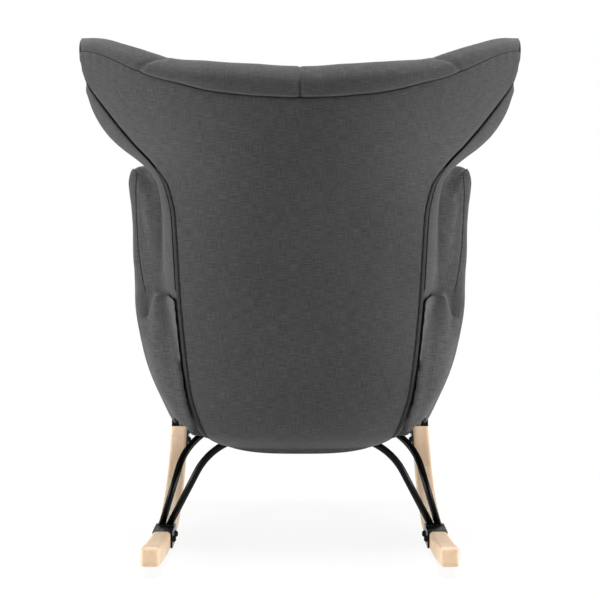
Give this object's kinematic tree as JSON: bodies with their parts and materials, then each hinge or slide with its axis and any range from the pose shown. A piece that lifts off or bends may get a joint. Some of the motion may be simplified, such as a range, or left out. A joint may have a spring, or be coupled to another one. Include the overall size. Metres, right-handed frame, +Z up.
{
  "type": "rocking chair",
  "caption": "Upholstered rocking chair with a winged back, padded arms and a seat cushion, on bent wooden runners joined by black steel rod arches.",
  "frame": {"origin": "on the floor, under the middle of the chair's overall box", "axes": "+Z up, the sitter faces -Y, +X is the sitter's left"},
  "size_m": [0.8794, 0.8074, 0.9975],
  "materials": {
    "cover_fabric": "woven",
    "binding": "woven",
    "dust_cloth": "matt",
    "webbing": "woven",
    "rubberwood": "satin",
    "frame_timber": "sawn",
    "black_steel": "satin",
    "zinc_steel": "plated",
    "black_plastic": "matt"
  },
  "bodies": {
    "root": {"arm_board_left": "frame_timber", "arm_board_right": "frame_timber", "arm_bolts": "black_steel", "arm_left": "cover_fabric", "arm_right": "cover_fabric", "back_angle_left": "black_steel", "back_angle_right": "black_steel", "back_band_left": "cover_fabric", "back_band_right": "cover_fabric", "back_binding_left": "binding", "back_binding_right": "binding", "back_lower_rail": "frame_timber", "back_middle_rail": "frame_timber", "back_post_left": "frame_timber", "back_post_right": "frame_timber", "back_top_rail": "frame_timber", "back_webbing": "webbing", "bar_end_plugs": "black_plastic", "dust_cover": "dust_cloth", "front_cross_bar": "black_steel", "front_rod_arch": "black_steel", "front_stand_left": "black_steel", "front_stand_right": "black_steel", "inside_back": "cover_fabric", "outside_back": "cover_fabric", "rear_rod_arch": "black_steel", "rocker_bolts": "black_steel", "rocker_bracket_left": "black_steel", "rocker_bracket_right": "black_steel", "rocker_inserts": "zinc_steel", "rocker_left": "rubberwood", "rocker_right": "rubberwood", "seat_bar_left": "black_steel", "seat_bar_right": "black_steel", "seat_bolts": "black_steel", "seat_border": "cover_fabric", "seat_cushion": "cover_fabric", "seat_front_rail": "frame_timber", "seat_rear_rail": "frame_timber", "seat_side_rail_left": "frame_timber", "seat_side_rail_right": "frame_timber", "seat_webbing": "webbing", "tee_nuts": "zinc_steel"}
  },
  "joints": []
}
